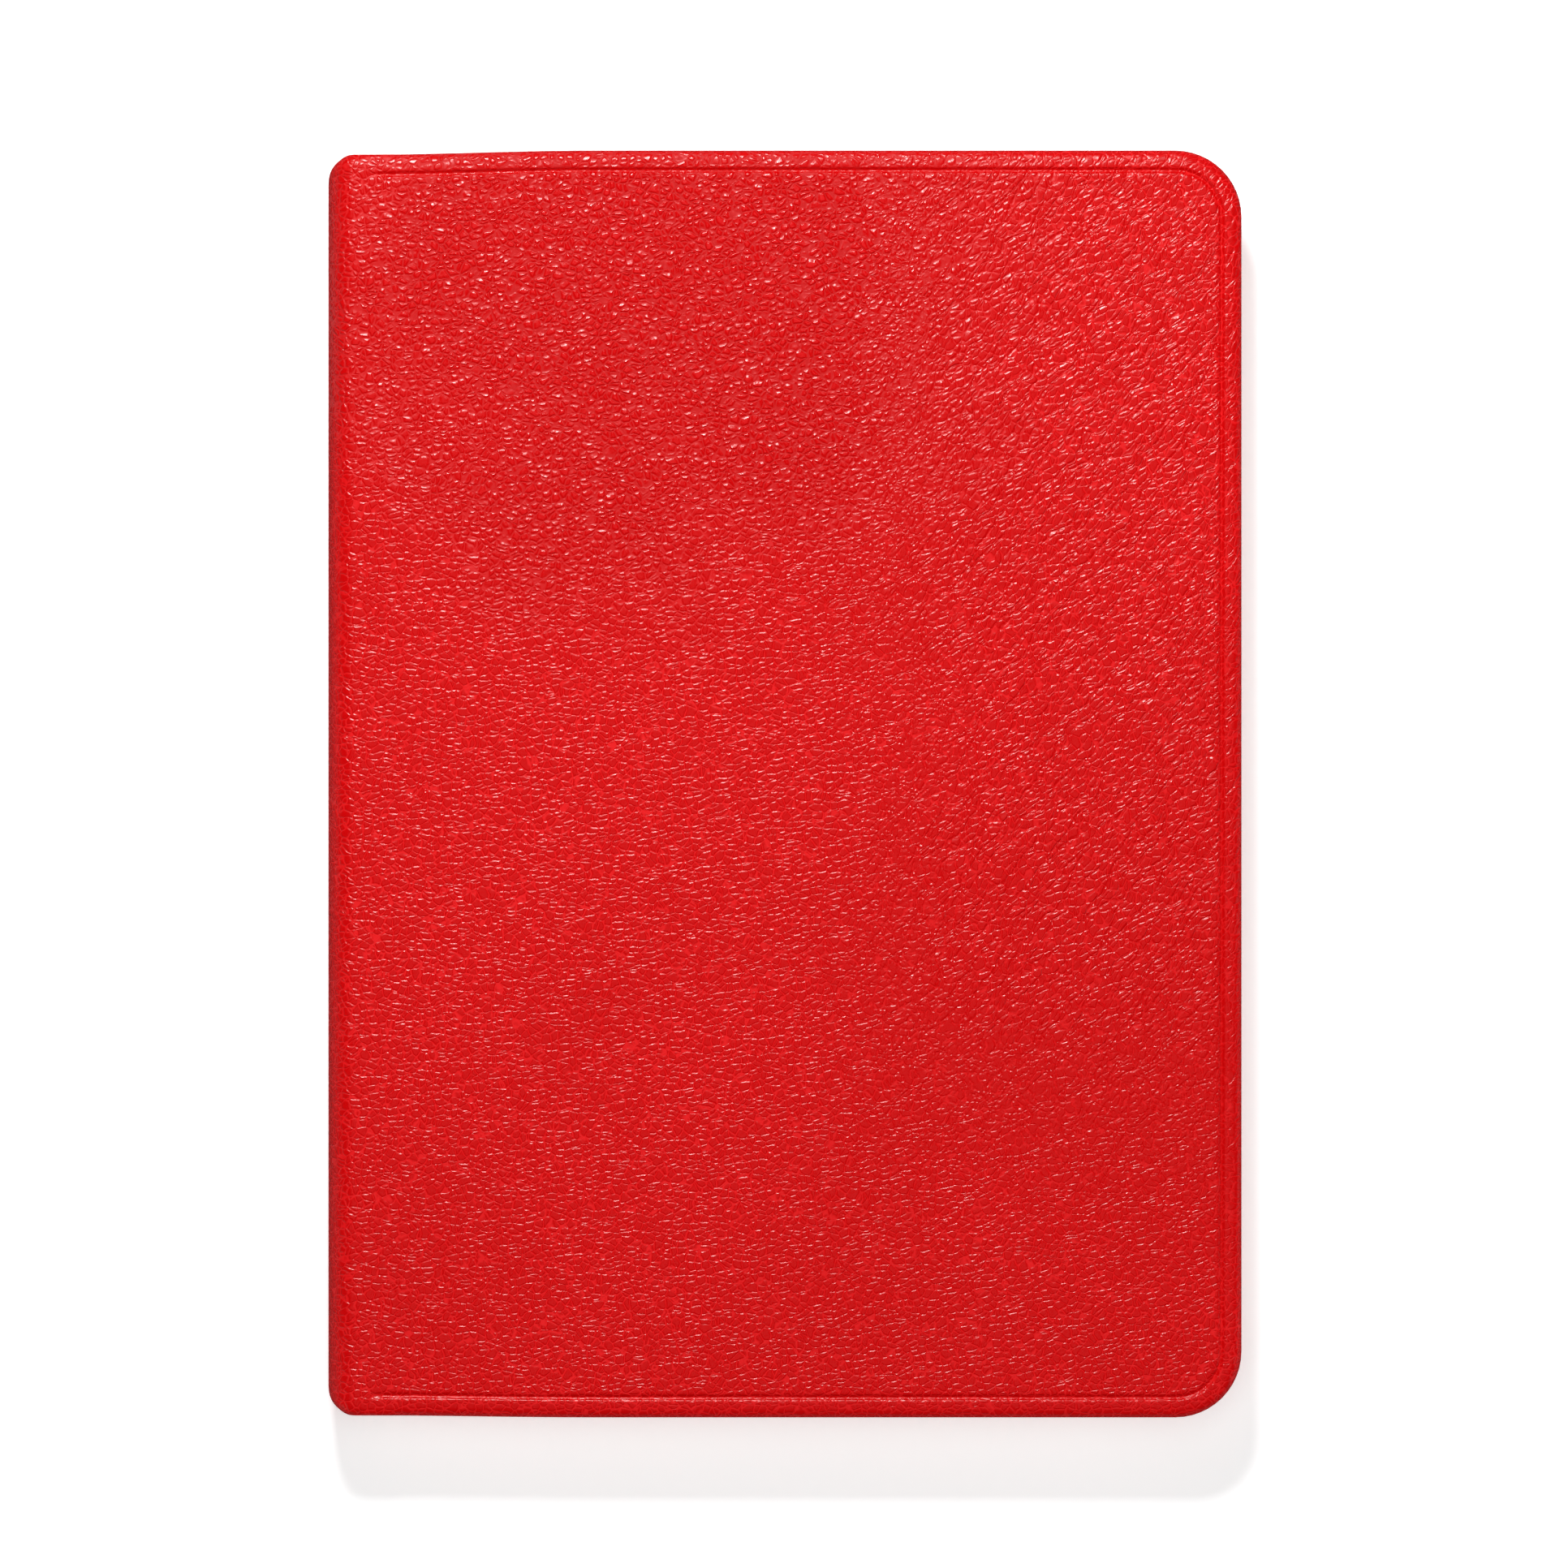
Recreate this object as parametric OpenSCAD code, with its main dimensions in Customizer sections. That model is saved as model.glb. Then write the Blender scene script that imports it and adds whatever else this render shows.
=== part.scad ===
// Pocket notebook: limp leather case, sewn text block with a rounded spine.
// It lies on its back cover, spine to -X, fore edge to +X, head to +Y.

/* [Cover] */
// Width of the closed book, spine to fore edge
cover_w = 110.5; // [108.5:0.5:112.5]
// Height of the cover, tail to head
cover_h = 153; // [151:1:160]
// Radius of the two fore-edge corners
corner_r = 8; // [6:0.5:12]
// Thickness of the covering leather
leather_t = 0.8; // [0.7:0.05:0.9]
// Thickness of the board inside each cover
board_t = 0.6; // [0.5:0.05:0.8]
// Thickness of the pared turn-in and of the infill beside it
turnin_t = 0.4; // [0.3:0.05:0.5]
// Width of the turn-in along the three free edges
turnin_w = 9; // [7:0.5:12]
// Distance from the cover's edge to the tooled line
crease_inset = 2.1; // [1.8:0.1:3]
// Width of the tooled line
crease_w = 0.5; // [0.3:0.1:0.8]
// Depth of the tooled line
crease_d = 0.25; // [0.1:0.05:0.3]

/* [Text block] */
// Width of a page
page_w = 105; // [104:0.5:105.5]
// Height of a page
page_h = 148; // [140:1:149]
// Radius of the page corners at the fore edge
page_corner_r = 5; // [3:0.5:8]
// Sections in the whole text block, the first of them as loose leaves
section_count = 10; // [8:1:12]
// Folded sheets in a section
sheets_per_section = 4; // [3:1:5]

/* [Spine] */
// Depth of the rounded spine, from its outermost point to the joint
spine_depth = 4.2; // [4.1:0.1:4.4]
// Radius of the shoulders of the spine
shoulder_r = 3.4; // [3:0.1:3.6]
// Radius of the spine's own curve
spine_curve_r = 14; // [13:0.5:16]
// Width of the flexible leather joint beside the spine
joint_w = 4.6; // [4.6:0.1:6]

/* [Hidden] */
leaf_count = 2 * sheets_per_section;
leaf_names = [for (i = [1:leaf_count]) str("leaf_", i)];
section_names = [for (i = [2:section_count]) str("section_", i < 10 ? "0" : "", i)];
$fn = 64;

leaf_pitch = 0.1;
leaf_t = 0.08;
paste_t = 0.1;
section_t = leaf_count * leaf_pitch;
cover_t = leather_t + board_t + turnin_t + paste_t;
cover_gap = 0.15;
block_z0 = cover_t + cover_gap;
stack_z0 = block_z0 + leaf_pitch;
stack_z1 = stack_z0 + section_count * section_t;
book_t = stack_z1 + leaf_pitch + cover_gap + cover_t;
mid_z = book_t / 2;

x_spine = -cover_w / 2;
x_edge = cover_w / 2;
y_edge = cover_h / 2;
x_joint = x_spine + spine_depth;
x_panel = x_joint + joint_w;

// Centre line of the shoulders
x_shoulder = x_spine + shoulder_r + 0.2;

// Depths of the spine's layers, counted from its outer surface
liner_in = leather_t + 0.02;
liner_out = leather_t + 0.4;
spine_turnin_in = liner_out + 0.02;
spine_turnin_out = liner_out + 0.3;
kraft_in = spine_turnin_out + 0.03;
kraft_out = kraft_in + 0.08;
mull_in = kraft_out + 0.02;
mull_out = mull_in + 0.12;
thread_r = 0.13;
thread_in = mull_out + thread_r + 0.04;
fold_in = thread_in + thread_r + 0.05;
fold_round = 0.75;
spine_turnin_h = 8;
spine_cap_h = 3;
spine_corner_r = 2.5;
slack = 0.05;

// Outline of a cover seen from the front, square on the spine side
module panel_plan(inset, x0) {
    r = max(corner_r - inset, 1);
    x1 = x_edge - inset;
    y1 = y_edge - inset;
    translate([x0, -y1]) square([x1 - r - x0, 2 * y1]);
    translate([x0, r - y1]) square([x1 - x0, 2 * (y1 - r)]);
    for (side = [-1, 1]) translate([x1 - r, side * (y1 - r)]) circle(r);
}

// Flat plate with a cover's outline, between two heights
module panel(inset, x0, z0, z1) {
    translate([0, 0, z0]) linear_extrude(z1 - z0) panel_plan(inset, x0);
}

// Outline of a page, rounded at the fore edge
module page_plan(x0, x1) {
    r = page_corner_r;
    y1 = page_h / 2;
    translate([x0, -y1]) square([x1 - r - x0, 2 * y1]);
    translate([x0, r - y1]) square([x1 - x0, 2 * (y1 - r)]);
    for (side = [-1, 1]) translate([x1 - r, side * (y1 - r)]) circle(r);
}

// Turns a cover that is drawn face up at the front over to the back
module at_back() {
    translate([0, 0, book_t]) mirror([0, 0, 1]) children();
}

// Leather of the front cover: face, edge and turned-in flange round the board
module cover_leather() {
    top = book_t;
    under = top - leather_t;
    inside = under - board_t;
    bottom = inside - turnin_t;
    color("firebrick") difference() {
        panel(0, x_panel, bottom, top);
        panel(leather_t, x_panel - 1, inside, under);
        panel(turnin_w, x_panel - 1, bottom - 1, inside + slack);
        difference() {
            panel(crease_inset, x_panel - 1, top - crease_d, top + 1);
            panel(crease_inset + crease_w, x_panel - 2, top - 1, top + 2);
        }
    }
}

module cover_board() {
    top = book_t - leather_t;
    color("tan") panel(leather_t + slack, x_panel + slack, top - board_t + 0.02, top - 0.02);
}

module cover_infill() {
    top = book_t - leather_t - board_t;
    color("wheat") panel(turnin_w + slack, x_panel + slack, top - turnin_t + 0.02, top - 0.02);
}

module cover_pastedown() {
    bottom = book_t - cover_t;
    color("ivory") panel(3, x_panel + 2 * slack, bottom, bottom + paste_t - 0.02);
}

// Flexible strip of leather between the spine and a cover
module joint_leather() {
    gap = 0.1;
    color("firebrick") translate([x_joint + gap, -y_edge, book_t - leather_t])
        cube([joint_w - 2 * gap, cover_h, leather_t]);
}

// Section through the rounded spine, taken in by a depth from its outer surface
module spine_outline(depth) {
    r = shoulder_r - depth;
    intersection() {
        union() {
            translate([x_shoulder, depth]) square([2 * joint_w, book_t - 2 * depth]);
            translate([x_spine - 1, shoulder_r]) square([2 * joint_w, book_t - 2 * shoulder_r]);
            for (z = [shoulder_r, book_t - shoulder_r]) translate([x_shoulder, z]) circle(r);
        }
        translate([x_spine + spine_curve_r, mid_z]) circle(spine_curve_r - depth);
    }
}

// A layer round the spine, between two depths, out to x1 and from y0 to y1
module spine_layer(depth_out, depth_in, x1, y0, y1) {
    $fn = 240;
    translate([0, y1, 0]) rotate([90, 0, 0]) linear_extrude(y1 - y0) intersection() {
        difference() {
            spine_outline(depth_out);
            spine_outline(depth_in);
        }
        translate([x_spine - 1, -1]) square([x1 - x_spine + 1, book_t + 2]);
    }
}

// Leather of the spine, rounded at head and tail and turned in round the liner's ends
module spine_leather() {
    x1 = x_joint - 0.15;
    r = spine_corner_r;
    color("firebrick") intersection() {
        union() {
            spine_layer(0, leather_t, x1, -y_edge, y_edge);
            for (side = [-1, 1]) {
                y_cap = side > 0 ? y_edge - spine_cap_h : -y_edge;
                y_flange = side > 0 ? y_edge - spine_turnin_h : spine_cap_h - y_edge;
                spine_layer(leather_t, spine_turnin_out, x1, y_cap, y_cap + spine_cap_h);
                spine_layer(spine_turnin_in, spine_turnin_out, x1, y_flange,
                    y_flange + spine_turnin_h - spine_cap_h);
            }
        }
        translate([0, 0, -1]) linear_extrude(book_t + 2) {
            translate([x_spine - 1, r - y_edge]) square([spine_depth + 1, cover_h - 2 * r]);
            translate([x_spine + r, -y_edge]) square([spine_depth - r, cover_h]);
            for (side = [-1, 1]) translate([x_spine + r, side * (y_edge - r)]) circle(r);
        }
    }
}

module spine_liner() {
    y1 = y_edge - spine_cap_h - slack;
    color("tan") spine_layer(liner_in, liner_out, x_joint - 0.2, -y1, y1);
}

module spine_kraft() {
    y1 = page_h / 2 - 1;
    color("peru") spine_layer(kraft_in, kraft_out, x_shoulder + slack, -y1, y1);
}

module spine_mull() {
    y1 = page_h / 2 - spine_turnin_h;
    color("gainsboro") spine_layer(mull_in, mull_out, x_shoulder + slack, -y1, y1);
}

// Rolled band across the head of the text block, with its tape on the spine
module band() {
    roll_r = 0.6;
    tape_z = 2;
    y_page = page_h / 2;
    roll_x = x_spine + fold_in + roll_r;
    tape_x = x_spine + mull_in + 0.4;
    color("crimson") union() {
        translate([roll_x, y_page + roll_r + slack, stack_z0 + 1])
            cylinder(r = roll_r, h = stack_z1 - stack_z0 - 2);
        translate([tape_x, y_page + slack, stack_z0 + tape_z])
            cube([roll_x - tape_x, roll_r, stack_z1 - stack_z0 - 2 * tape_z]);
    }
}

// Turns the head's end round to the tail
module at_tail() {
    mirror([0, 1, 0]) children();
}

// Thread across the backs of the sections, at the sewing stations
module sewing_thread() {
    sweep = 37;
    color("ivory") for (y = [-58, -36, -12, 12, 36, 58])
        translate([x_spine + spine_curve_r, y, mid_z]) rotate([90, 0, 0])
            rotate([0, 0, 180 - sweep / 2]) rotate_extrude(angle = sweep)
                translate([spine_curve_r - thread_in, 0]) circle(thread_r);
}

// A loose leaf that turns, from the joint to the fore edge
module loose_leaf(z) {
    x_fore = x_spine + fold_in + fold_round + page_w;
    color("ivory") translate([0, 0, z]) linear_extrude(leaf_t) page_plan(x_joint + 0.1, x_fore);
}

module back_flyleaf() {
    x_fore = x_spine + fold_in + fold_round + page_w;
    color("ivory") translate([0, 0, block_z0]) linear_extrude(leaf_t) page_plan(x_joint - 0.6, x_fore);
}

// Cross-section of one folded sheet: two leaves and the fold, in X and Z
module sheet_section(outer_r, inner_r, x_fore) {
    difference() {
        union() {
            circle(outer_r);
            translate([0, -outer_r]) square([x_fore, 2 * outer_r]);
        }
        union() {
            circle(inner_r);
            translate([0, -inner_r]) square([x_fore + 1, 2 * inner_r]);
        }
    }
}

// Folded sheets nested in each other, at their place on the rounded spine
module section(number) {
    half_t = section_t / 2;
    z = stack_z1 - (number - 0.5) * section_t;
    offset_z = (z - mid_z) / ((stack_z1 - stack_z0) / 2);
    x_fold = x_spine + fold_in + fold_round * offset_z * offset_z;
    color("ivory") intersection() {
        translate([x_fold + half_t, page_h / 2, z]) rotate([90, 0, 0])
            linear_extrude(page_h) for (i = [0:sheets_per_section - 1])
                sheet_section(half_t - i * leaf_pitch - 0.01, half_t - (i + 1) * leaf_pitch + 0.01, page_w);
        translate([0, 0, z - section_t]) linear_extrude(2 * section_t)
            page_plan(x_fold - 1, x_fold + page_w);
    }
}

cover_leather();  // front_leather
cover_board();  // front_board
cover_infill();  // front_infill
cover_pastedown();  // front_pastedown
at_back() cover_leather();  // back_leather
at_back() cover_board();  // back_board
at_back() cover_infill();  // back_infill
at_back() cover_pastedown();  // back_pastedown
spine_leather();
spine_liner();
spine_kraft();
spine_mull();
joint_leather();  // front_joint_leather
at_back() joint_leather();  // back_joint_leather
band();  // headband
at_tail() band();  // tailband
sewing_thread();
loose_leaf(stack_z1);  // front_flyleaf
back_flyleaf();
for (i = [1:leaf_count])
    loose_leaf(stack_z1 - i * leaf_pitch);
for (i = [2:section_count])
    section(i);
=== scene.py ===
import bpy, math
import numpy as np
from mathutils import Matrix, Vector


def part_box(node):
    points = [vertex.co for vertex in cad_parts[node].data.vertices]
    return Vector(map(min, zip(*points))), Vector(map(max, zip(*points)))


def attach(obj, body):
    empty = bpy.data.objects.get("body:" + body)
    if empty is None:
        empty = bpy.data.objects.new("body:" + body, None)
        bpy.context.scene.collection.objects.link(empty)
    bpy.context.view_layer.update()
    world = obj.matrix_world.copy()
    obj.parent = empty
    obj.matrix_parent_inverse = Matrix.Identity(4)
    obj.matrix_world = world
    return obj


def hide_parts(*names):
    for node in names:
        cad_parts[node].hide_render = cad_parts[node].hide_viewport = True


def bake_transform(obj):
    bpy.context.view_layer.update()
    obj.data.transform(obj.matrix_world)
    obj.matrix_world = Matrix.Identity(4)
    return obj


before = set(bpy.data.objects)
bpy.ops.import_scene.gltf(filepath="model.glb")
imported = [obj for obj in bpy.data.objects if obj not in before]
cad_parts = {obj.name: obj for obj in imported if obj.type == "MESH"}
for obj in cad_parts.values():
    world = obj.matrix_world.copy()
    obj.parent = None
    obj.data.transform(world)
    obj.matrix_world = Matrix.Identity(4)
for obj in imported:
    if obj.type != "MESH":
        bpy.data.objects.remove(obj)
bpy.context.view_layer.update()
mm = 0.001
print("frame loaded")

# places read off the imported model, in millimetres
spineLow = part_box("spine_leather")[0] / mm
panelLow, panelHigh = [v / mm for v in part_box("front_leather")]
strip = [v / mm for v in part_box("front_joint_leather")]
bookTop = panelHigh.z
xSpine, xEdge, yEdge, xPanel = spineLow.x, panelHigh.x, panelHigh.y, panelLow.x
xJoint = round(strip[0].x - 0.1, 3)
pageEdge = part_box("leaf_1")[1].x / mm


def smoothStep(v, lo=0.0, hi=1.0):
    t = np.clip((np.asarray(v, float) - lo) / (hi - lo), 0, 1)
    return t * t * (3 - 2 * t)


def wave(x, y, seed):
    # slow, seeded unevenness from a few crossing sines, about -1 to 1
    rng = np.random.default_rng(seed)
    total = 0
    for k in range(6):
        a, f, p = rng.uniform(0, 6.28), rng.uniform(0.05, 0.22), rng.uniform(0, 6.28)
        total = total + np.sin((x * math.cos(a) + y * math.sin(a)) * f + p)
    return total / 4


def makePiece(name, points, faces, material, rest=None, calm=None):
    # points in millimetres; rest keeps where the skin lay flat, so its grain doesn't slide
    mesh = bpy.data.meshes.new(name)
    mesh.from_pydata([tuple(p) for p in np.asarray(points, float) * mm], [], faces)
    mesh.validate()
    rest = np.asarray(points if rest is None else rest, np.float32)
    layer = mesh.attributes.new("rest", "FLOAT_VECTOR", "POINT")
    layer.data.foreach_set("vector", rest.ravel())
    if calm is not None:
        layer = mesh.attributes.new("calm", "FLOAT", "POINT")
        layer.data.foreach_set("value", np.asarray(calm, np.float32))
    for p in mesh.polygons:
        p.use_smooth = True
    mesh.materials.append(material)
    obj = bpy.data.objects.new(name, mesh)
    bpy.context.scene.collection.objects.link(obj)
    return obj


def flip(points):
    # the back cover is the front one turned over
    turned = np.array(points, float)
    turned[:, 2] = bookTop - turned[:, 2]
    return turned


def reverse(faces):
    return [tuple(reversed(f)) for f in faces]


def newMaterial(name):
    mat = bpy.data.materials.new(name)
    mat.use_nodes = True
    tree = mat.node_tree
    return mat, tree, tree.nodes["Principled BSDF"]


def node(tree, kind, **settings):
    n = tree.nodes.new(kind)
    for key, value in settings.items():
        setattr(n, key, value)
    return n


def plug(tree, value, socket):
    if hasattr(value, "is_output"):
        tree.links.new(value, socket)
    else:
        socket.default_value = value


def mathNode(tree, op, a, b=None):
    n = node(tree, "ShaderNodeMath", operation=op)
    plug(tree, a, n.inputs[0])
    if b is not None:
        plug(tree, b, n.inputs[1])
    return n.outputs[0]


def remap(tree, value, lo, hi, outLo=0.0, outHi=1.0, smooth=True):
    n = node(tree, "ShaderNodeMapRange", interpolation_type="SMOOTHSTEP" if smooth else "LINEAR")
    for k, v in zip((0, 1, 2, 3, 4), (value, lo, hi, outLo, outHi)):
        plug(tree, v, n.inputs[k])
    return n.outputs[0]


def mixNumber(tree, factor, a, b):
    n = node(tree, "ShaderNodeMix", data_type="FLOAT")
    for k, v in zip((0, 2, 3), (factor, a, b)):
        plug(tree, v, n.inputs[k])
    return n.outputs[0]


def mixColour(tree, factor, a, b):
    n = node(tree, "ShaderNodeMix", data_type="RGBA")
    plug(tree, factor, n.inputs[0])
    plug(tree, a, n.inputs[6])
    plug(tree, b, n.inputs[7])
    return n.outputs[2]


def noiseNode(tree, where, scale, detail=3.0, rough=0.5):
    n = node(tree, "ShaderNodeTexNoise")
    plug(tree, where, n.inputs["Vector"])
    n.inputs["Scale"].default_value = scale
    n.inputs["Detail"].default_value = detail
    n.inputs["Roughness"].default_value = rough
    return n


def creaseDistance(tree, where, scale):
    n = node(tree, "ShaderNodeTexVoronoi", feature="DISTANCE_TO_EDGE")
    plug(tree, where, n.inputs["Vector"])
    n.inputs["Scale"].default_value = scale
    return n.outputs["Distance"]


def vectorMath(tree, op, a, b):
    n = node(tree, "ShaderNodeVectorMath", operation=op)
    plug(tree, a, n.inputs[0])
    if op == "SCALE":
        plug(tree, b, n.inputs["Scale"])
    else:
        plug(tree, b, n.inputs[1])
    return n.outputs[0]


def stretch(tree, where, turn, scale):
    # turned first, then scaled, so a small first scale draws the pattern out along that turn
    n = node(tree, "ShaderNodeMapping", vector_type="TEXTURE")
    plug(tree, where, n.inputs["Vector"])
    n.inputs["Rotation"].default_value = (0, 0, math.radians(turn))
    n.inputs["Scale"].default_value = [1 / v for v in scale]
    return n.outputs[0]


def wander(tree, where, scale, amount):
    n = noiseNode(tree, where, scale, 2.0)
    offset = vectorMath(tree, "SUBTRACT", n.outputs["Color"], (0.5, 0.5, 0.5))
    return vectorMath(tree, "ADD", where, vectorMath(tree, "SCALE", offset, amount))


def emboss(tree, bsdf, height, depth):
    # depth in millimetres
    bump = node(tree, "ShaderNodeBump")
    bump.inputs["Distance"].default_value = depth * mm
    tree.links.new(height, bump.inputs["Height"])
    tree.links.new(bump.outputs[0], bsdf.inputs["Normal"])


def axes(tree, place):
    split = node(tree, "ShaderNodeSeparateXYZ")
    tree.links.new(place, split.inputs[0])
    return split.outputs


def restPlace(tree):
    return node(tree, "ShaderNodeAttribute", attribute_name="rest").outputs["Vector"]


def solidPlace(tree):
    # the same millimetres, for a piece that has no rest layer of its own
    where = node(tree, "ShaderNodeTexCoord").outputs["Object"]
    return vectorMath(tree, "SCALE", where, 1000.0)


leatherLook = {
    "colour": (0.645, 0.0004, 0.0012, 1),   # face of a pebble
    "valleyShade": (0.56, 0.000, 0.0005, 1),     # painted shade in the creases between plump pebbles
    "crackleHighlight": (0.86, 0.009, 0.011, 1),     # painted highlight along the thin creases where the hide is stretched
    "topHighlight": (0.74, 0.004, 0.006, 1),        # painted highlight on the plump pebble tops
    "cloud": (0.60, 0.0005, 0.001, 1),      # broad darker patches in the dye
    "slackAt": (-14.0, 62.0),               # middle of the slack hide, where the pebbles are plump
    "slackReach": (46.0, 44.0),             # how far the slack reaches across and along
    "pebble": 1.28,                         # pebbles per millimetre
    "depth": 0.105,                         # grain depth, millimetres
    "flatHeight": 0.50,                     # share of that depth in the flat cells
    "gloss": 0.26,                          # roughness of the pebbles
    "dull": 0.30,                           # roughness of the thin creases
    "deepDull": 0.70,                       # roughness between plump pebbles
    "specular": 0.42,
}


# a rounded rise from the square of how far down the side it is
def dome(tree, down):
    return mathNode(tree, "SUBTRACT", 1.0, mathNode(tree, "POWER", down, 2.0))


def redLeather():
    mat, tree, bsdf = newMaterial("grained red leather")
    look = leatherLook
    place = restPlace(tree)
    acrossX, alongY = axes(tree, place)[:2]
    loose = wander(tree, place, 0.35, 1.7)
    patch = noiseNode(tree, place, 0.06, 2.0).outputs[0]
    # plump pebbles where the hide lay slack, flat cells parted by thin creases where it was stretched
    (slackX, slackY), (reachX, reachY) = look["slackAt"], look["slackReach"]
    dx = mathNode(tree, "MULTIPLY", mathNode(tree, "SUBTRACT", acrossX, slackX), 1 / reachX)
    dy = mathNode(tree, "MULTIPLY", mathNode(tree, "SUBTRACT", alongY, slackY), 1 / reachY)
    away = mathNode(tree, "ADD", mathNode(tree, "POWER", dx, 2.0), mathNode(tree, "POWER", dy, 2.0))
    ragged = mathNode(tree, "MULTIPLY", mathNode(tree, "SUBTRACT", patch, 0.5), 1.6)
    plump = remap(tree, mathNode(tree, "ADD", away, ragged), 0.15, 1.35, 1.0, 0.0)
    levelAt = stretch(tree, loose, 6, (0.80, 1.06, 1.0))
    slantAt = stretch(tree, loose, 50, (0.70, 1.12, 1.0))
    levelEdge = creaseDistance(tree, levelAt, look["pebble"])
    slantEdge = creaseDistance(tree, slantAt, look["pebble"])
    drifting = mathNode(tree, "ADD", acrossX, mathNode(tree, "MULTIPLY", patch, 24.0))
    towardEdge = remap(tree, drifting, 14.0, 40.0)
    # the slant follows the hide's stretch towards the fore edge, and runs out near the tail
    slantHere = mathNode(tree, "MULTIPLY", towardEdge, remap(tree, alongY, -62.0, -12.0))
    edge = mixNumber(tree, slantHere, levelEdge, slantEdge)
    flatCell = dome(tree, remap(tree, edge, 0.0, 0.26, 1.0, 0.0))
    plumpCell = dome(tree, remap(tree, edge, 0.0, 0.46, 1.0, 0.0))
    cell = mixNumber(tree, plump, mathNode(tree, "MULTIPLY", flatCell, look["flatHeight"]), plumpCell)
    # long creases that gather the pebbles into rows
    rowAt = stretch(tree, loose, 53, (0.11, 0.50, 0.3))
    rowLine = remap(tree, creaseDistance(tree, rowAt, 1.0), 0.0, 0.10, 1.0, 0.0)
    rowDepth = mathNode(tree, "ADD", mathNode(tree, "MULTIPLY", slantHere, 0.45), 0.16)
    rows = mathNode(tree, "MULTIPLY", rowLine, rowDepth)
    fine = noiseNode(tree, place, 5.5, 3.0, 0.6).outputs[0]
    relief = mathNode(tree, "ADD", cell, mathNode(tree, "MULTIPLY", fine, 0.055))
    relief = mathNode(tree, "SUBTRACT", relief, rows)
    calm = node(tree, "ShaderNodeAttribute", attribute_name="calm").outputs["Fac"]
    lively = mathNode(tree, "SUBTRACT", 1.0, mathNode(tree, "MULTIPLY", calm, 0.7))
    relief = mathNode(tree, "MULTIPLY", relief, lively)
    emboss(tree, bsdf, relief, look["depth"])
    # painted shade in the creases between plump pebbles, painted highlight along the thin creases and on the
    # plump pebble tops
    cloud = noiseNode(tree, place, 0.03, 2.0).outputs[0]
    # crease colour: painted highlight where the hide is stretched, painted shade between plump pebbles
    creaseShadeAndHighlight = mixColour(tree, plump, look["crackleHighlight"], look["valleyShade"])
    base = mixColour(tree, remap(tree, edge, 0.0, 0.11), creaseShadeAndHighlight, look["colour"])
    # lighter on the plump pebble tops: painted highlight
    base = mixColour(tree, remap(tree, relief, 0.75, 1.1, 0.0, 0.6), base, look["topHighlight"])
    base = mixColour(tree, remap(tree, cloud, 0.35, 0.65, 0.0, 0.25), base, look["cloud"])
    tree.links.new(base, bsdf.inputs["Base Color"])
    dull = remap(tree, plump, 0.0, 0.8, look["dull"], look["deepDull"])
    shine = mixNumber(tree, remap(tree, edge, 0.0, 0.16), dull, look["gloss"])
    tree.links.new(shine, bsdf.inputs["Roughness"])
    bsdf.inputs["Specular IOR Level"].default_value = look["specular"]
    return mat


paperLook = {
    "page": (0.93, 0.90, 0.82, 1),
    "endpaper": (0.86, 0.80, 0.68, 1),
    "rule": (0.50, 0.56, 0.62, 1),
    "ruleEvery": 6.0,                       # millimetres between ruled lines
    "ruleWidth": 0.16,                      # millimetres
}


def paper(name, colour, rules, onPiece):
    mat, tree, bsdf = newMaterial(name)
    place = restPlace(tree) if onPiece else solidPlace(tree)
    spot = axes(tree, place)
    fibre = noiseNode(tree, stretch(tree, place, 15, (1.0, 2.6, 1.0)), 2.2, 4.0, 0.6).outputs[0]
    cloud = noiseNode(tree, place, 0.05, 2.0).outputs[0]
    base = mixColour(tree, remap(tree, fibre, 0.3, 0.7, 0.0, 0.10), colour, (0.70, 0.62, 0.48, 1))
    base = mixColour(tree, remap(tree, cloud, 0.35, 0.7, 0.0, 0.10), base, (0.95, 0.93, 0.86, 1))
    facing = axes(tree, node(tree, "ShaderNodeNewGeometry").outputs["True Normal"])
    flat = mathNode(tree, "ABSOLUTE", facing[2])
    if not onPiece:
        # every sheet's edge catches the light a little differently
        grain = stretch(tree, place, 0, (0.02, 0.02, 9.0))
        layers = noiseNode(tree, grain, 1.0, 2.0, 0.7).outputs[0]
        onEdge = remap(tree, flat, 0.75, 0.35)
        edgeShade = mathNode(tree, "MULTIPLY", remap(tree, layers, 0.35, 0.62, 0.42, 0.0), onEdge)
        base = mixColour(tree, edgeShade, base, (0.42, 0.35, 0.25, 1))
    if rules:
        step = paperLook["ruleEvery"]
        shifted = mathNode(tree, "ADD", spot[1], 60.0 * step)
        phase = mathNode(tree, "FRACT", mathNode(tree, "DIVIDE", shifted, step))
        off = mathNode(tree, "ABSOLUTE", mathNode(tree, "SUBTRACT", phase, 0.5))
        width = paperLook["ruleWidth"] / step
        line = remap(tree, off, width * 0.4, width * 0.8, 1.0, 0.0)
        head, tail = remap(tree, spot[1], 61.0, 60.0), remap(tree, spot[1], -68.0, -67.0)
        line = mathNode(tree, "MULTIPLY", line, mathNode(tree, "MULTIPLY", head, tail))
        line = mathNode(tree, "MULTIPLY", line, 0.55)
        foreEdge = remap(tree, spot[0], pageEdge - 0.9, pageEdge - 0.5, 1.0, 0.0)
        line = mathNode(tree, "MULTIPLY", line, foreEdge)
        line = mathNode(tree, "MULTIPLY", line, remap(tree, flat, 0.02, 0.3)) if not onPiece else line
        base = mixColour(tree, line, base, paperLook["rule"])
    tree.links.new(base, bsdf.inputs["Base Color"])
    bsdf.inputs["Roughness"].default_value = 0.82
    bsdf.inputs["Specular IOR Level"].default_value = 0.3
    emboss(tree, bsdf, fibre, 0.012)
    return mat


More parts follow.
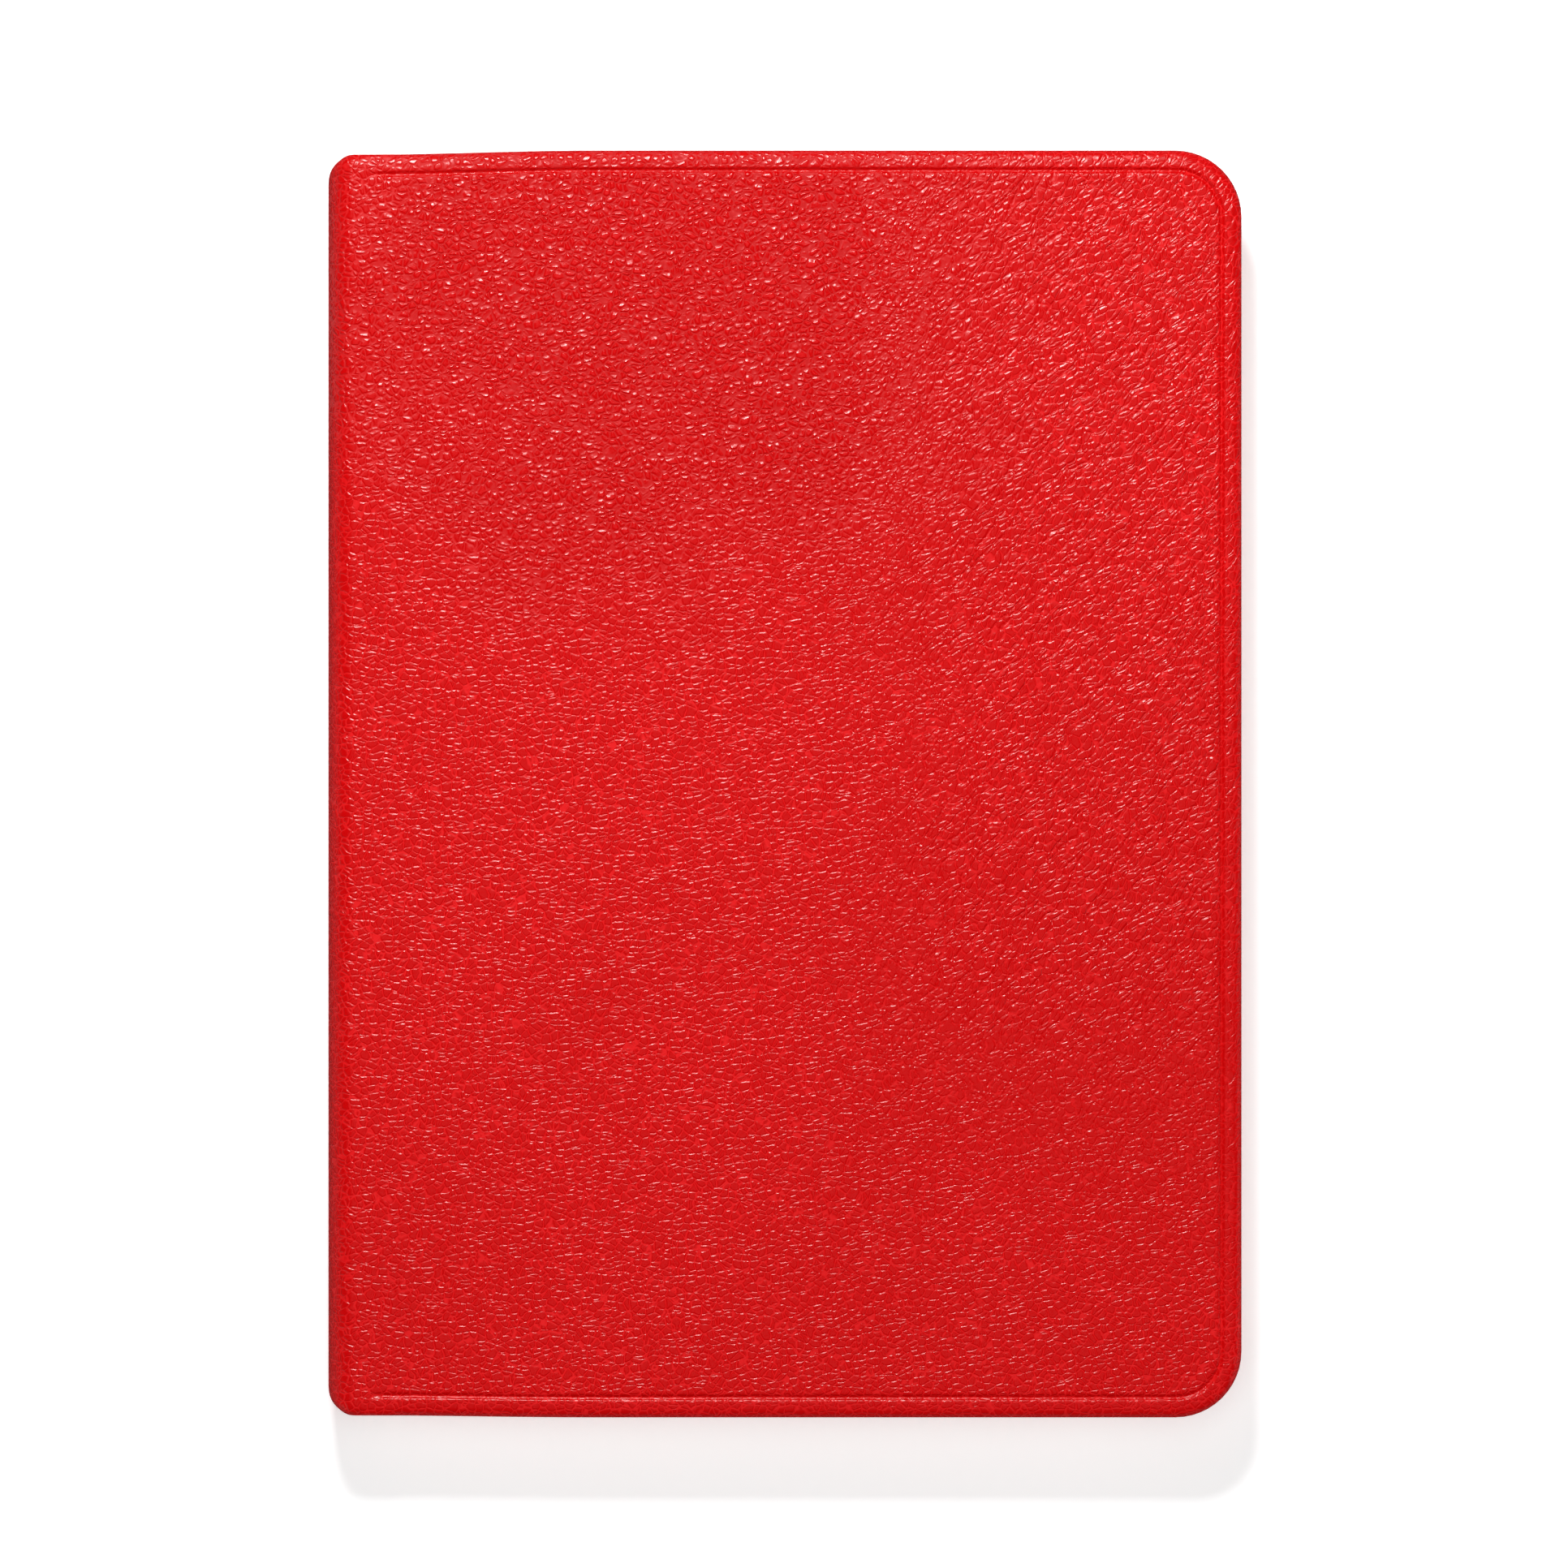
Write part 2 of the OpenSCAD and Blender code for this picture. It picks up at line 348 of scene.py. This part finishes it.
def pressedBoard(name, colour, fleck):
    mat, tree, bsdf = newMaterial(name)
    place = solidPlace(tree)
    fibre = noiseNode(tree, stretch(tree, place, 20, (1.0, 3.0, 3.0)), 1.4, 5.0, 0.65).outputs[0]
    dots = noiseNode(tree, place, 4.5, 2.0).outputs[0]
    base = mixColour(tree, remap(tree, fibre, 0.35, 0.65), colour, [c * 0.72 for c in colour[:3]] + [1])
    base = mixColour(tree, remap(tree, dots, 0.62, 0.70, 0.0, 0.7), base, fleck)
    tree.links.new(base, bsdf.inputs["Base Color"])
    bsdf.inputs["Roughness"].default_value = 0.9
    emboss(tree, bsdf, fibre, 0.05)
    return mat


def wovenCloth(name, colour, threadsPerMm):
    mat, tree, bsdf = newMaterial(name)
    place = solidPlace(tree)
    spot = axes(tree, place)
    halfTurn = threadsPerMm * math.pi
    waves = [mathNode(tree, "SINE", mathNode(tree, "MULTIPLY", spot[k], halfTurn)) for k in (1, 2)]
    warp, weft = [mathNode(tree, "ABSOLUTE", w) for w in waves]
    height = mathNode(tree, "MAXIMUM", warp, weft)
    shade = remap(tree, height, 0.3, 0.95)
    base = mixColour(tree, shade, [c * 0.35 for c in colour[:3]] + [1], colour)
    tree.links.new(base, bsdf.inputs["Base Color"])
    bsdf.inputs["Roughness"].default_value = 0.9
    emboss(tree, bsdf, height, 0.06)
    return mat


def waxedThread():
    mat, tree, bsdf = newMaterial("waxed linen thread")
    place = solidPlace(tree)
    spot = axes(tree, place)
    along, across = mathNode(tree, "MULTIPLY", spot[1], 16.0), mathNode(tree, "MULTIPLY", spot[2], 9.0)
    lay = mathNode(tree, "ADD", along, across)
    ply = mathNode(tree, "ABSOLUTE", mathNode(tree, "SINE", lay))
    # lighter on the plies and darker in the grooves between them: painted shade
    base = mixColour(tree, ply, (0.55, 0.50, 0.40, 1), (0.86, 0.82, 0.72, 1))
    tree.links.new(base, bsdf.inputs["Base Color"])
    bsdf.inputs["Roughness"].default_value = 0.5
    emboss(tree, bsdf, ply, 0.05)
    return mat


bandLook = {"stripe": 0.9, "red": (0.42, 0.004, 0.010, 1), "cream": (0.82, 0.74, 0.56, 1)}


def bandSilk():
    mat, tree, bsdf = newMaterial("striped band silk")
    place = restPlace(tree)
    spot = axes(tree, place)
    run = mathNode(tree, "DIVIDE", spot[0], bandLook["stripe"])
    which = mathNode(tree, "GREATER_THAN", mathNode(tree, "FRACT", run), 0.5)
    base = mixColour(tree, which, bandLook["red"], bandLook["cream"])
    twist = mathNode(tree, "SINE", mathNode(tree, "MULTIPLY", spot[0], 21.0))
    strand = mathNode(tree, "ABSOLUTE", twist)
    # darker in the grooves between the twisted strands: painted shade
    base = mixColour(tree, remap(tree, strand, 0.0, 0.5, 0.6, 0.0), base, (0.08, 0.01, 0.01, 1))
    tree.links.new(base, bsdf.inputs["Base Color"])
    bsdf.inputs["Roughness"].default_value = 0.45
    bsdf.inputs["Sheen Weight"].default_value = 0.4
    emboss(tree, bsdf, strand, 0.04)
    return mat


leather = redLeather()
pageSheet = paper("loose page paper", paperLook["page"], True, True)
pageStack = paper("stacked page paper", paperLook["page"], True, False)
endSheet = paper("endpaper", paperLook["endpaper"], False, True)
endSolid = paper("endpaper glued down", paperLook["endpaper"], False, False)
infillPaper = paper("infill paper", (0.74, 0.68, 0.55, 1), False, False)
board = pressedBoard("grey board", (0.46, 0.38, 0.27, 1), (0.22, 0.17, 0.11, 1))
kraft = pressedBoard("kraft paper", (0.42, 0.25, 0.12, 1), (0.25, 0.14, 0.06, 1))
mull = wovenCloth("open mull cloth", (0.80, 0.77, 0.68, 1), 1.6)
thread = waxedThread()
silk = bandSilk()
print("materials made")


coverShape = {
    "corner": 8.0,          # fore-edge corners
    "edge": 1.8,            # thickness over the rounded edge
    "leather": 0.8,         # thickness of the leather
    "turnInTop": 1.42,      # how deep the turned-in leather starts
    "jointEdge": 1.2,       # the same in the soft joint, where there is no board
    "grooveDepth": 0.26,
    "bow": 0.035,           # slow unevenness of the face
    "waist": 0.5,           # how much shorter the cover is beside the spine than in its middle
}
# distance in from the edge and depth below the face, in millimetres
edgeRound = [(1.5, 0.005), (1.15, 0.03), (0.85, 0.09), (0.55, 0.2), (0.3, 0.38), (0.1, 0.64), (0.0, 0.95),
             (0.05, 1.22), (0.2, 1.48), (0.45, 1.66), (0.85, 1.77), (1.4, 1.8)]
# the tooled line, as shares of its full depth
groove = [(7.0, 0), (6.0, 0), (5.0, 0), (4.2, 0), (3.6, 0), (3.15, 0.0), (2.85, 0.05), (2.7, 0.35),
          (2.58, 0.85), (2.46, 1.0), (2.34, 0.85), (2.2, 0.3), (2.08, -0.08), (1.9, -0.14), (1.7, -0.06)]


def coverStations():
    # stations run along the tail, round the corner, up the fore edge, round and back along the head
    r, n = coverShape["corner"], 12
    xs = np.concatenate([np.linspace(xJoint, xPanel, 17)[:-1], np.linspace(xPanel, xEdge - r, 64)])
    ys = np.linspace(r - yEdge, yEdge - r, 92)
    stations = [("x", x, -1, (i, 0)) for i, x in enumerate(xs)]
    stations += [("a", -90 + 90 * k / n, -1, (len(xs) - 1, 0)) for k in range(1, n)]
    stations += [("y", y, 0, (len(xs) - 1, j)) for j, y in enumerate(ys)]
    stations += [("a", 90 * k / n, 1, (len(xs) - 1, len(ys) - 1)) for k in range(1, n)]
    stations += [("x", x, 1, (len(xs) - 1 - i, len(ys) - 1)) for i, x in enumerate(xs[::-1])]
    return xs, ys, stations


def waist(x, side):
    # the turned-in leather draws the cover in a little beside the spine, most at the head
    share = coverShape["waist"] * (1.0 if side > 0 else 0.5)
    return share * (1 - float(smoothStep(x, xJoint, xJoint + 28)))


def rimPoint(station, inset):
    kind, value, side, _ = station
    r = coverShape["corner"]
    if kind == "x":
        return value, side * (yEdge - waist(value, side) * smoothStep(-inset, -7, -4) - inset)
    if kind == "y":
        return xEdge - inset, value
    a = math.radians(value)
    return xEdge - r + (r - inset) * math.cos(a), side * (yEdge - r) + (r - inset) * math.sin(a)


def faceLift(x, y, seed):
    # soft unevenness that dies out at the joint and at the edges
    fade = smoothStep(x - xPanel, 0, 14) * smoothStep(xEdge - x, 3, 16) * smoothStep(yEdge - np.abs(y), 3, 16)
    return coverShape["bow"] * fade * wave(x, y, seed)


def coverSkin(name, seed, atBack):
    xs, ys, stations = coverStations()
    t = coverShape
    profile = [(d, h * t["grooveDepth"], "groove") for d, h in groove]
    profile += [(d, h, "edge") for d, h in edgeRound]
    profile += [(d, t["edge"], "under") for d in (2.4, 4.0, 5.5, 6.8)] + [(6.95, 1.6, "under")]
    profile += [(d, t["turnInTop"], "under") for d in (6.8, 4.0, 1.3)]
    profile += [(0.95, 1.1, "edge"), (1.3, t["leather"] + 0.02, "lining"), (7.0, t["leather"], "lining")]
    points, calm, faces = [], [], []

    def add(x, y, z, quiet):
        points.append((x, y, z))
        calm.append(quiet)
        return len(points) - 1

    rings = []
    for inset, depth, kind in profile:
        ring = []
        for s in stations:
            x, y = rimPoint(s, inset)
            if kind == "groove":
                begin = float(smoothStep(x, xJoint + 0.4, xJoint + 3.0))
                pressed = 0.9 * min(1, abs(depth) / 0.1) + (0.35 if inset < 2.1 else 0)
                h, quiet = depth * begin, pressed * begin
            elif kind in ("edge", "under"):
                # the edge is thinner where the joint has no board in it
                soft = float(smoothStep(x, xPanel - 1.8, xPanel + 0.6))
                share = (t["jointEdge"] + (t["edge"] - t["jointEdge"]) * soft) / t["edge"]
                h, quiet = depth * share, 0.45 if kind == "edge" else 0.6
                if kind == "under" and depth < 1.7:
                    h = max(h, t["leather"] + 0.02 + (depth - t["turnInTop"]) * share)
            else:
                h, quiet = depth, 0.8
            lift = faceLift(x, y, seed) if kind == "groove" else 0
            ring.append(add(x, y, bookTop - h + lift, min(1, quiet)))
        rings.append(ring)
    for a, b in zip(rings, rings[1:]):
        for s in range(len(stations) - 1):
            faces.append((a[s], b[s], b[s + 1], a[s + 1]))
    grids = []
    for depth, ring, outward in ((0.0, rings[0], True), (t["leather"], rings[-1], False)):
        lift = (lambda x, y: float(faceLift(x, y, seed))) if outward else (lambda x, y: 0.0)
        grid = [[add(x, y, bookTop - depth + lift(x, y), 0 if outward else 0.8) for y in ys] for x in xs]
        grids.append(grid)
        for i in range(len(xs) - 1):
            for j in range(len(ys) - 1):
                quad = (grid[i][j], grid[i + 1][j], grid[i + 1][j + 1], grid[i][j + 1])
                faces.append(quad if outward else quad[::-1])
        for s in range(len(stations) - 1):
            g0, g1 = (grid[i][j] for i, j in (stations[s][3], stations[s + 1][3]))
            f = (g0, ring[s], ring[s + 1], g1) if g0 != g1 else (g0, ring[s], ring[s + 1])
            faces.append(f if outward else f[::-1])
    # close the end that meets the spine
    for j in range(len(ys) - 1):
        faces.append((grids[0][0][j + 1], grids[1][0][j + 1], grids[1][0][j], grids[0][0][j]))
    faces.append(tuple([grids[0][0][0]] + [grids[1][0][0]] + [r[0] for r in rings[::-1]]))
    faces.append(tuple([grids[1][0][-1]] + [grids[0][0][-1]] + [r[-1] for r in rings]))
    points = np.array(points)
    if atBack:
        points, faces = flip(points), reverse(faces)
    obj = makePiece(name, points, faces, leather, calm=calm)
    obj.data.set_sharp_from_angle(angle=math.radians(60))
    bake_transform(obj)
    side = "back" if atBack else "front"
    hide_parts(side + "_leather", side + "_joint_leather")


coverSkin("front_cover_skin", 3, False)
coverSkin("back_cover_skin", 8, True)
print("cover skins made")


spineShape = {
    "fullness": 2.55,       # 2 is a round spine, more is squarer
    "depth": 3.6,
    "corner": (3.4, 2.0),   # how far the head and tail corners are drawn in, across and along
}


def spineCurve(count):
    # evenly spaced points round the spine from the front joint to the back one, with their outward directions
    depth, half = spineShape["depth"], bookTop / 2
    a = np.linspace(0, math.pi, 2001)
    n = 2 / spineShape["fullness"]
    z = half + half * np.sign(np.cos(a)) * np.abs(np.cos(a)) ** n
    x = xSpine + depth - depth * np.sin(a) ** n
    x = np.concatenate([[xJoint], x, [xJoint]])
    z = np.concatenate([[bookTop], z, [0.0]])
    run = np.concatenate([[0], np.cumsum(np.hypot(np.diff(x), np.diff(z)))])
    at = np.linspace(0, run[-1], count)
    px, pz = np.interp(at, run, x), np.interp(at, run, z)
    tx, tz = np.gradient(px), np.gradient(pz)
    length = np.hypot(tx, tz)
    nx, nz = tz / length, -tx / length
    nx[0] = nx[-1] = 0
    nz[0], nz[-1] = 1, -1
    return px, pz, nx, nz


def spineSkin():
    px, pz, nx, nz = spineCurve(61)
    ySteps = np.linspace(-(yEdge - 1.9), yEdge - 1.9, 100)
    loop = [(y, 0.0, 0.0) for y in ySteps]
    head = [(yEdge - d, h, 0.45) for d, h in edgeRound]
    turnIn = [(2.2, 1.8), (3.2, 1.5), (5.5, 1.5), (8, 1.5), (8.1, 1.36),
              (8, 1.22), (3, 1.22), (1.3, 1.3), (0.95, 1.1), (1.3, 0.82)]
    inner = [(yEdge - d, h, 0.6) for d, h in turnIn]
    loop += head + inner + [(y, 0.8, 0.8) for y in ySteps[::-1]]
    loop += [(-y, h, c) for y, h, c in inner[::-1]] + [(-y, h, c) for y, h, c in head[::-1]]
    points, calm, faces = [], [], []
    count = len(loop)
    wide, tall = spineShape["corner"]
    for k in range(len(px)):
        inCorner = np.clip((xSpine + wide - px[k]) / wide, 0, 1)
        drop = tall * (1 - math.sqrt(1 - inCorner ** 2))
        nearJoint = min(k, len(px) - 1 - k) / 6.0
        thin = 1.2 / 1.8 + (1.5 / 1.8 - 1.2 / 1.8) * float(smoothStep(nearJoint))
        for y, h, c in loop:
            short = drop + waist(xJoint, y)
            yy = y - math.copysign(short * float(smoothStep(abs(y), 50, 72)), y)
            depth = h * thin if h > 0.8 else h
            if h in (1.22, 1.3):
                depth = max(h * thin, 0.83)
            points.append((px[k] - nx[k] * depth, yy, pz[k] - nz[k] * depth))
            calm.append(c)
    for k in range(len(px) - 1):
        for i in range(count):
            a, b = k * count + i, k * count + (i + 1) % count
            faces.append((a, b, b + count, a + count))
    faces.append(tuple(range(count))[::-1])
    faces.append(tuple(range((len(px) - 1) * count, len(px) * count)))
    obj = makePiece("spine_skin", points, faces, leather, calm=calm)
    obj.data.set_sharp_from_angle(angle=math.radians(60))
    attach(obj, "book_block")
    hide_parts("spine_leather")


spineSkin()
print("spine skin made")


leafShape = {"corner": 5.0, "turnOver": 14.0, "root": 2.9}


def paperSheet(name, material, xStart, xEnd, yHalf, corner, level, thick):
    # level(x) gives the height of the sheet's middle across its width
    rounding = corner * np.sin(np.linspace(0, math.pi / 2, 11))
    xs = np.concatenate([np.linspace(xStart, xStart + 18, 46)[:-1],
                         np.linspace(xStart + 18, xEnd - corner, 24)[:-1], xEnd - corner + rounding])
    vs = np.linspace(-1, 1, 25)
    over = np.clip(xs - (xEnd - corner), 0, corner)
    reach = yHalf - corner + np.sqrt(np.maximum(corner ** 2 - over ** 2, 0))
    points, faces = [], []
    for side in (1, -1):
        for i, x in enumerate(xs):
            for v in vs:
                points.append((x, v * reach[i], level(x) + side * thick / 2))
    nV, nX = len(vs), len(xs)
    low = nX * nV
    for i in range(nX - 1):
        for j in range(nV - 1):
            a = i * nV + j
            faces.append((a, a + nV, a + nV + 1, a + 1))
            faces.append((low + a, low + a + 1, low + a + nV + 1, low + a + nV))
    around = [i * nV for i in range(nX)] + [(nX - 1) * nV + j for j in range(1, nV)]
    around += [i * nV + nV - 1 for i in range(nX - 2, -1, -1)] + [j for j in range(nV - 2, -1, -1)]
    for a, b in zip(around, around[1:]):
        faces.append((a, low + a, low + b, b))
    obj = makePiece(name, points, faces, material)
    obj.data.set_sharp_from_angle(angle=math.radians(50))
    return obj


def leafPiece(nodeName, material):
    low, high = [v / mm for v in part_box(nodeName)]
    middle = (low.z + high.z) / 2
    obj = paperSheet(nodeName + "_sheet", material, xSpine + leafShape["root"], high.x, high.y,
                     leafShape["corner"], lambda x: middle, high.z - low.z)
    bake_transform(obj)
    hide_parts(nodeName)


for i in range(1, 9):
    leafPiece(f"leaf_{i}", pageSheet)
leafPiece("front_flyleaf", endSheet)


def endpaperHinge(side, flyTop):
    # glued inside the cover, across the joint, and down to the flyleaf's fold
    low, high = [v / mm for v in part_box("front_pastedown")]
    inside = (low.z + high.z) / 2

    def level(x):
        rise = float(smoothStep(x, xPanel + 1.6, xPanel - 0.8)) * (bookTop - 1.32 - inside)
        fall = float(smoothStep(x, xJoint + 0.5, xJoint - 0.9))
        return (inside + rise) * (1 - fall) + flyTop * fall

    obj = paperSheet(side + "_endpaper", endSheet, xJoint - 0.9, high.x, high.y,
                     leafShape["corner"], level, 0.08)
    if side == "back":
        turned = np.array([v.co for v in obj.data.vertices])
        turned[:, 2] = bookTop * mm - turned[:, 2]
        obj.data.vertices.foreach_set("co", turned.ravel())
        obj.data.flip_normals()
    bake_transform(obj)
    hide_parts(side + "_pastedown")


for side in ("front", "back"):
    endpaperHinge(side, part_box("front_flyleaf")[1].z / mm + 0.05)
print("leaves and endpapers made")


def rolledBand(name, side):
    low, high = [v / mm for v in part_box(name)]
    rings, around = 132, 14
    x0, y0 = xSpine + 2.75, side * (min(abs(low.y), abs(high.y)) + 0.55)
    points, rest, faces = [], [], []
    for k in range(rings + 1):
        z = low.z + (high.z - low.z) * k / rings
        u = 2 * k / rings - 1
        bulge = 0.5 * (1 - u ** 6 * 0.55) * (1 + 0.09 * abs(math.sin(k * math.pi * 22 / rings)))
        for j in range(around):
            a = math.tau * j / around
            points.append((x0 + 0.55 * u * u + bulge * math.cos(a), y0 + bulge * math.sin(a), z))
            rest.append((z, math.cos(a), math.sin(a)))
    for k in range(rings):
        for j in range(around):
            a, b = k * around + j, k * around + (j + 1) % around
            faces.append((a, b, b + around, a + around))
    faces.append(tuple(range(around))[::-1])
    faces.append(tuple(range(rings * around, (rings + 1) * around)))
    obj = makePiece(name + "_roll", points, faces, silk, rest=rest)
    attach(obj, "book_block")
    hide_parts(name)


rolledBand("headband", 1)
rolledBand("tailband", -1)
print("headbands made")


finishes = {
    "front_board": board, "back_board": board, "spine_liner": board,
    "front_infill": infillPaper, "back_infill": infillPaper,
    "spine_kraft": kraft, "spine_mull": mull, "sewing_thread": thread, "back_flyleaf": endSolid,
}
for name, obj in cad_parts.items():
    material = finishes.get(name) or (pageStack if name.startswith("section_") else None)
    if material:
        for slotItem in obj.material_slots:
            slotItem.material = material
print("solid pieces finished")


studio = {
    "floorLight": 0.42,     # glow of the pale floor
    "sky": 0.04,            # light from all round
    "backdrop": 0.62,       # what is seen behind the floor
    "key": 1.8,             # power of the window light, in watts
    "keyAt": (-0.055, 0.31, 0.40),
    "fill": 8.3,
    "side": 0.35,
    "frameWidth": 189.2,    # millimetres seen across the picture
    "lens": 200.0,
}


def paleFloor():
    mesh = bpy.data.meshes.new("floor")
    s = 8.0
    mesh.from_pydata([(-s, -s, 0), (s, -s, 0), (s, s, 0), (-s, s, 0)], [], [(0, 1, 2, 3)])
    floor = bpy.data.objects.new("floor", mesh)
    bpy.context.scene.collection.objects.link(floor)
    mat, tree, bsdf = newMaterial("pale floor")
    bsdf.inputs["Base Color"].default_value = (0.9, 0.9, 0.9, 1)
    bsdf.inputs["Roughness"].default_value = 0.9
    bsdf.inputs["Emission Color"].default_value = (1, 1, 1, 1)
    bsdf.inputs["Emission Strength"].default_value = studio["floorLight"]
    mesh.materials.append(mat)
    floor.visible_glossy = False    # keeps the white table out of the leather's shine


def softbox(name, place, aim, width, height, power):
    data = bpy.data.lights.new(name, "AREA")
    data.shape, data.size, data.size_y, data.energy = "RECTANGLE", width, height, power
    light = bpy.data.objects.new(name, data)
    light.location = place
    light.rotation_euler = (Vector(aim) - Vector(place)).to_track_quat("-Z", "Y").to_euler()
    bpy.context.scene.collection.objects.link(light)
    return light


def studioSet():
    paleFloor()
    world = bpy.data.worlds.new("studio air")
    world.use_nodes = True
    air = world.node_tree
    air.nodes["Background"].inputs[0].default_value = (1, 1, 1, 1)
    # a pale backdrop that adds no light of its own
    seen = node(air, "ShaderNodeLightPath").outputs["Is Camera Ray"]
    strength = remap(air, seen, 0.0, 1.0, studio["sky"], studio["backdrop"], smooth=False)
    plug(air, strength, air.nodes["Background"].inputs[1])
    bpy.context.scene.world = world
    softbox("window light", studio["keyAt"], (-0.01, 0.04, 0), 0.09, 0.06, studio["key"])
    fill = softbox("overhead light", (0.1, -0.1, 1.3), (0, 0, 0), 1.0, 1.0, studio["fill"])
    fill.visible_glossy = False     # evens the light without a second shine
    softbox("side light", (-0.75, -0.55, 0.30), (0, 0, 0), 0.5, 0.35, studio["side"])
    softbox("far light", (0.85, -0.2, 0.25), (0, 0, 0), 0.5, 0.35, studio["side"])
    data = bpy.data.cameras.new("main camera")
    data.lens, data.sensor_width = studio["lens"], 36.0
    data.clip_start, data.clip_end = 0.01, 20
    camera = bpy.data.objects.new("main camera", data)
    camera.location = (0, 0, bookTop * mm + studio["frameWidth"] * mm * studio["lens"] / 36.0)
    bpy.context.scene.collection.objects.link(camera)
    bpy.context.scene.camera = camera
    bpy.context.scene.view_settings.view_transform = "Standard"


studioSet()
print("studio set")
